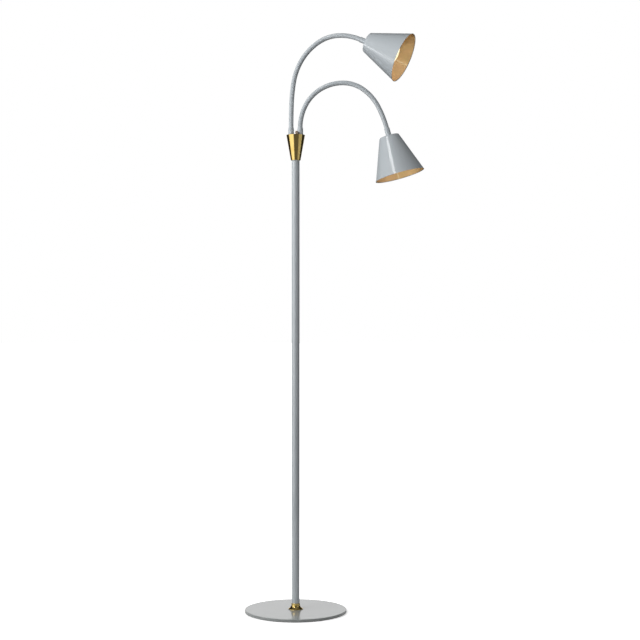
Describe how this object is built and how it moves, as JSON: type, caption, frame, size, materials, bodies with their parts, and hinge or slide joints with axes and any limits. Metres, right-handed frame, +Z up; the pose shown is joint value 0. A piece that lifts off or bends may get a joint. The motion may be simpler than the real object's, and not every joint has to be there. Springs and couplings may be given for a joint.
{
  "type": "floor lamp",
  "caption": "Floor lamp with a round base, slim pole and brass collar that carries gooseneck arms, each with a conical shade, gold inside, and a spot bulb",
  "frame": {"origin": "centre of the base's underside, on the pole's axis", "axes": "+Z up along the pole, +X the side that both arms reach to, +Y the rear, where the cord's inlet is"},
  "size_m": [0.4378, 0.2679, 1.4176],
  "materials": {
    "grey_paint": "semi-gloss pale blue-grey lacquer",
    "base_paint": "glossy pale grey lacquer",
    "brass": "polished and lacquered",
    "gold_liner": "gold-coloured satin lining",
    "steel": "zinc-plated",
    "bulb_body": "satin white",
    "frosted_lens": "frosted, lit warm",
    "holder_plastic": "matt ivory",
    "switch_plastic": "matt black",
    "button_brass": "polished, a little pink",
    "pad_foam": "matt foam"
  },
  "bodies": {
    "root": {"base_plate": "base_paint", "base_pad": "pad_foam", "cord_grommet": "pad_foam", "foot_cone": "brass", "collar_shell": "brass", "collar_plate": "brass", "pole_tube": "grey_paint", "pole_inserts": "steel", "lock_nuts": "steel", "lock_washers": "steel", "threaded_nipples": "steel", "foot_ferrules": "grey_paint", "wire_connector": "holder_plastic", "switch_body": "switch_plastic", "switch_nut": "brass"},
    "button": {"switch_button": "button_brass"},
    "upper_arm": {"upper_neck_1": "grey_paint"},
    "upper_link_2": {"upper_neck_2": "grey_paint"},
    "upper_link_3": {"upper_neck_3": "grey_paint"},
    "upper_link_4": {"upper_neck_4": "grey_paint"},
    "upper_link_5": {"upper_neck_5": "grey_paint"},
    "upper_head": {"upper_neck_6": "grey_paint", "upper_end_ferrule": "grey_paint", "upper_shade": "grey_paint", "upper_liner": "gold_liner", "upper_lamp_holder": "holder_plastic", "upper_bulb_body": "bulb_body", "upper_bulb_lens": "frosted_lens", "upper_bulb_pins": "steel"},
    "lower_arm": {"lower_neck_1": "grey_paint"},
    "lower_link_2": {"lower_neck_2": "grey_paint"},
    "lower_link_3": {"lower_neck_3": "grey_paint"},
    "lower_link_4": {"lower_neck_4": "grey_paint"},
    "lower_link_5": {"lower_neck_5": "grey_paint"},
    "lower_head": {"lower_neck_6": "grey_paint", "lower_end_ferrule": "grey_paint", "lower_shade": "grey_paint", "lower_liner": "gold_liner", "lower_lamp_holder": "holder_plastic", "lower_bulb_body": "bulb_body", "lower_bulb_lens": "frosted_lens", "lower_bulb_pins": "steel"}
  },
  "joints": [
    {"name": "button_press", "type": "slide", "parent": "root", "child": "button", "axis": [0, 0, -1], "range_m": [0, 0.0025], "stiffness_N_per_m": 600, "springref_m": -0.002},
    {"name": "upper_swing", "type": "hinge", "parent": "root", "child": "upper_arm", "pos_m": [-0.0112, 0, 1.1725], "axis": [0, 0, 1], "range_deg": [-120, 120]},
    {"name": "upper_bend_1", "type": "hinge", "parent": "upper_arm", "child": "upper_link_2", "pos_m": [-0.01021, -0.00031, 1.24908], "axis": [0.2957, 0.9553, 0], "range_deg": [-6.25, 1.2]},
    {"name": "upper_bend_2", "type": "hinge", "parent": "upper_link_2", "child": "upper_link_3", "pos_m": [-0.00443, -0.0021, 1.30522], "axis": [0.2957, 0.9553, 0], "range_deg": [-18.65, 3.24]},
    {"name": "upper_bend_3", "type": "hinge", "parent": "upper_link_3", "child": "upper_link_4", "pos_m": [0.01536, -0.00822, 1.35728], "axis": [0.2957, 0.9553, 0], "range_deg": [-28.39, 4.84]},
    {"name": "upper_bend", "type": "hinge", "parent": "upper_link_4", "child": "upper_link_5", "pos_m": [0.05345, -0.02001, 1.39653], "axis": [0.2957, 0.9553, 0], "range_deg": [-34, 5.6]},
    {"name": "upper_bend_5", "type": "hinge", "parent": "upper_link_5", "child": "upper_head", "pos_m": [0.1044, -0.03578, 1.41172], "axis": [0.2957, 0.9553, 0], "range_deg": [-34.08, 5.78]},
    {"name": "lower_swing", "type": "hinge", "parent": "root", "child": "lower_arm", "pos_m": [0.0112, 0, 1.1725], "axis": [0, 0, 1], "range_deg": [-120, 120]},
    {"name": "lower_bend", "type": "hinge", "parent": "lower_arm", "child": "lower_link_2", "pos_m": [0.02441, -0.00252, 1.24662], "axis": [0.1874, 0.9823, 0], "range_deg": [-8.4, 9]},
    {"name": "lower_bend_2", "type": "hinge", "parent": "lower_link_2", "child": "lower_link_3", "pos_m": [0.06259, -0.0098, 1.28611], "axis": [0.1874, 0.9823, 0], "range_deg": [-8.96, 9.58]},
    {"name": "lower_bend_3", "type": "hinge", "parent": "lower_link_3", "child": "lower_link_4", "pos_m": [0.11569, -0.01993, 1.29914], "axis": [0.1874, 0.9823, 0], "range_deg": [-9.29, 9.93]},
    {"name": "lower_bend_4", "type": "hinge", "parent": "lower_link_4", "child": "lower_link_5", "pos_m": [0.16682, -0.02969, 1.28065], "axis": [0.1874, 0.9823, 0], "range_deg": [-8.59, 9.19]},
    {"name": "lower_bend_5", "type": "hinge", "parent": "lower_link_5", "child": "lower_head", "pos_m": [0.20205, -0.03641, 1.23776], "axis": [0.1874, 0.9823, 0], "range_deg": [-5.28, 5.64]}
  ],
  "couplings": [
    {"joint": "upper_bend_1", "follows": "upper_bend", "ratio": 0.178},
    {"joint": "upper_bend_2", "follows": "upper_bend", "ratio": 0.5428},
    {"joint": "upper_bend_3", "follows": "upper_bend", "ratio": 0.829},
    {"joint": "upper_bend_5", "follows": "upper_bend", "ratio": 0.9965},
    {"joint": "lower_bend_2", "follows": "lower_bend", "ratio": 1.0425},
    {"joint": "lower_bend_3", "follows": "lower_bend", "ratio": 1.0817},
    {"joint": "lower_bend_4", "follows": "lower_bend", "ratio": 0.9984},
    {"joint": "lower_bend_5", "follows": "lower_bend", "ratio": 0.6046}
  ]
}
